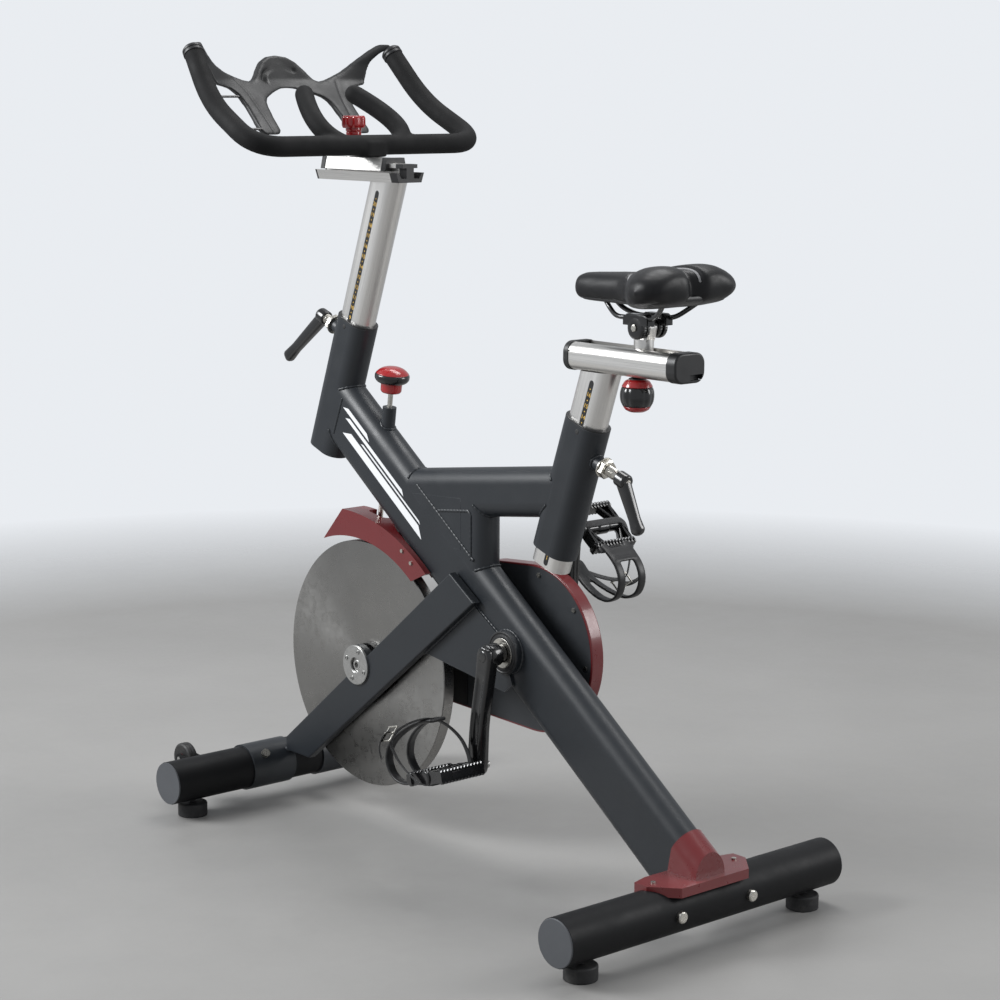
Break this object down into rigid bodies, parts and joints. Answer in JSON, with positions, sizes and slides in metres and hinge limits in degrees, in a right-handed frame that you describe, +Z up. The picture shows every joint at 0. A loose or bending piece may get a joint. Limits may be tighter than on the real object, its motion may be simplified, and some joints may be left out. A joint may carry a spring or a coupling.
{
  "type": "indoor spin bike",
  "caption": "Indoor exercise bike with a front flywheel, inclined frame tube, sliding saddle and handlebar posts, round foot tubes and a covered belt drive.",
  "frame": {"origin": "on the floor, at the middle of the bounding box seen from above", "axes": "+X from the saddle towards the handlebar, +Y to the rider's left, +Z up"},
  "size_m": [1.0806, 0.535, 1.2486],
  "materials": {
    "frame_paint": "dark graphite textured powder coat",
    "tube_paint": "black textured powder coat",
    "cap_grey": "grained dark grey plastic",
    "steel_bolt": "nickel plated",
    "cover_red": "deep red satin moulding",
    "cover_grey": "dark grey satin moulding",
    "black_plastic": "black satin moulding",
    "black_gloss": "glossy black paint",
    "rubber": "matt black",
    "flywheel_steel": "turned and oiled steel",
    "machined_steel": "machined",
    "aluminium": "satin anodised",
    "foam": "fine closed-cell foam grip",
    "knob_red": "glossy red and black",
    "saddle_cover": "smooth black synthetic leather",
    "belt": "ribbed belt",
    "spring_steel": "spring wire",
    "felt": "dense brake felt"
  },
  "bodies": {
    "frame": {"main_frame": "frame_paint", "rear_stabiliser": "tube_paint", "front_stabiliser": "tube_paint", "stabiliser_caps": "cap_grey", "stabiliser_bolts": "steel_bolt", "rear_boot": "cover_red", "cover_screws": "steel_bolt", "wheel_pins": "machined_steel", "head_bushing": "black_plastic", "seat_bushing": "black_plastic", "fender": "cover_red", "belt_cover": "cover_grey", "belt_cover_rim": "cover_red", "belt_guard": "black_plastic", "flywheel_bearings": "machined_steel", "axle_plates": "machined_steel", "axle_plate_screws": "machined_steel", "drive_belt": "belt", "crank_bearings": "steel_bolt", "brake_spring": "spring_steel"},
    "handlebar_post": {"handlebar_post": "aluminium", "bar_rail": "aluminium", "bar_rail_caps": "black_plastic"},
    "bar_carriage": {"bar_slider": "aluminium", "handlebar": "foam", "horn_caps": "black_plastic", "console": "black_plastic", "console_wire": "black_gloss"},
    "bar_knob": {"star_knob": "knob_red"},
    "seat_post": {"seat_post": "aluminium", "seat_rail": "aluminium", "seat_rail_caps": "black_plastic"},
    "seat_carriage": {"seat_pin": "aluminium"},
    "seat_knob": {"ball_knob": "knob_red"},
    "saddle": {"saddle": "saddle_cover", "saddle_rails": "black_gloss", "saddle_clamp": "black_gloss"},
    "head_lever": {"head_lever": "black_plastic"},
    "seat_lever": {"seat_lever": "black_plastic"},
    "crank": {"crank_spindle": "machined_steel", "crank_left": "black_gloss", "crank_right": "black_gloss", "drive_pulley": "aluminium", "pedal_spindles": "machined_steel"},
    "pedal_left": {"pedal_left": "black_gloss", "toe_cage_left": "black_plastic"},
    "pedal_right": {"pedal_right": "black_gloss", "toe_cage_right": "black_plastic"},
    "flywheel": {"flywheel": "flywheel_steel", "flywheel_axle": "machined_steel", "flywheel_pulley": "machined_steel"},
    "brake_rod": {"brake_rod": "steel_bolt", "brake_pad": "felt"},
    "brake_knob": {"brake_knob": "knob_red"},
    "wheel_left": {"transport_wheel_left": "rubber"},
    "wheel_right": {"transport_wheel_right": "rubber"},
    "foot_rear_left": {"foot_rear_left": "rubber"},
    "foot_rear_right": {"foot_rear_right": "rubber"},
    "foot_front_left": {"foot_front_left": "rubber"},
    "foot_front_right": {"foot_front_right": "rubber"}
  },
  "joints": [
    {"name": "handlebar_height", "type": "slide", "parent": "frame", "child": "handlebar_post", "axis": [-0.342, 0, 0.9397], "range_m": [-0.15, 0.03]},
    {"name": "handlebar_reach", "type": "slide", "parent": "handlebar_post", "child": "bar_carriage", "axis": [1, 0, 0], "range_m": [-0.04, 0.05]},
    {"name": "bar_clamp_turn", "type": "hinge", "parent": "bar_carriage", "child": "bar_knob", "pos_m": [0.28175, 0, 1.11], "axis": [0, 0, 1], "range_deg": [-180, 180]},
    {"name": "seat_height", "type": "slide", "parent": "frame", "child": "seat_post", "axis": [-0.3289, 0, 0.9444], "range_m": [-0.055, 0.1]},
    {"name": "seat_reach", "type": "slide", "parent": "seat_post", "child": "seat_carriage", "axis": [1, 0, 0], "range_m": [-0.04, 0.018]},
    {"name": "seat_clamp_turn", "type": "hinge", "parent": "seat_carriage", "child": "seat_knob", "pos_m": [-0.36525, 0, 0.76], "axis": [0, 0, 1], "range_deg": [-180, 180]},
    {"name": "saddle_tilt", "type": "hinge", "parent": "seat_carriage", "child": "saddle", "pos_m": [-0.38425, 0, 0.857], "axis": [0, 1, 0], "range_deg": [-12, 12]},
    {"name": "head_lever_turn", "type": "hinge", "parent": "frame", "child": "head_lever", "pos_m": [0.28435, 0, 0.78487], "axis": [0.9397, 0, 0.342], "range_deg": [-80, 80]},
    {"name": "seat_lever_turn", "type": "hinge", "parent": "frame", "child": "seat_lever", "pos_m": [-0.25052, 0, 0.66726], "axis": [-0.9444, 0, -0.3289], "range_deg": [-70, 70]},
    {"name": "flywheel_spin", "type": "hinge", "parent": "frame", "child": "flywheel", "pos_m": [0.22825, 0, 0.268], "axis": [0, 1, 0], "continuous": true},
    {"name": "crank_spin", "type": "hinge", "parent": "frame", "child": "crank", "pos_m": [-0.12225, 0, 0.352], "axis": [0, 1, 0], "continuous": true},
    {"name": "pedal_left_spin", "type": "hinge", "parent": "crank", "child": "pedal_left", "pos_m": [-0.11128, 0.13, 0.18235], "axis": [0, 1, 0], "continuous": true},
    {"name": "pedal_right_spin", "type": "hinge", "parent": "crank", "child": "pedal_right", "pos_m": [-0.13322, -0.1475, 0.52165], "axis": [0, 1, 0], "continuous": true},
    {"name": "brake_push", "type": "slide", "parent": "frame", "child": "brake_rod", "axis": [0.1392, 0, -0.9903], "range_m": [0, 0.0048], "stiffness_N_per_m": 4000},
    {"name": "brake_knob_turn", "type": "hinge", "parent": "brake_rod", "child": "brake_knob", "pos_m": [0.19032, 0, 0.70739], "axis": [-0.1392, 0, 0.9903], "range_deg": [-180, 180]},
    {"name": "wheel_left_spin", "type": "hinge", "parent": "frame", "child": "wheel_left", "pos_m": [0.51475, 0.183, 0.077], "axis": [0, 1, 0], "continuous": true},
    {"name": "wheel_right_spin", "type": "hinge", "parent": "frame", "child": "wheel_right", "pos_m": [0.51475, -0.183, 0.077], "axis": [0, 1, 0], "continuous": true},
    {"name": "foot_rear_left_turn", "type": "hinge", "parent": "frame", "child": "foot_rear_left", "pos_m": [-0.49885, 0.22, 0], "axis": [0, 0, 1], "continuous": true},
    {"name": "foot_rear_right_turn", "type": "hinge", "parent": "frame", "child": "foot_rear_right", "pos_m": [-0.49885, -0.22, 0], "axis": [0, 0, 1], "continuous": true},
    {"name": "foot_front_left_turn", "type": "hinge", "parent": "frame", "child": "foot_front_left", "pos_m": [0.45225, 0.212, 0], "axis": [0, 0, 1], "continuous": true},
    {"name": "foot_front_right_turn", "type": "hinge", "parent": "frame", "child": "foot_front_right", "pos_m": [0.45225, -0.212, 0], "axis": [0, 0, 1], "continuous": true}
  ],
  "couplings": [
    {"joint": "crank_spin", "follows": "flywheel_spin", "ratio": 0.30435}
  ]
}
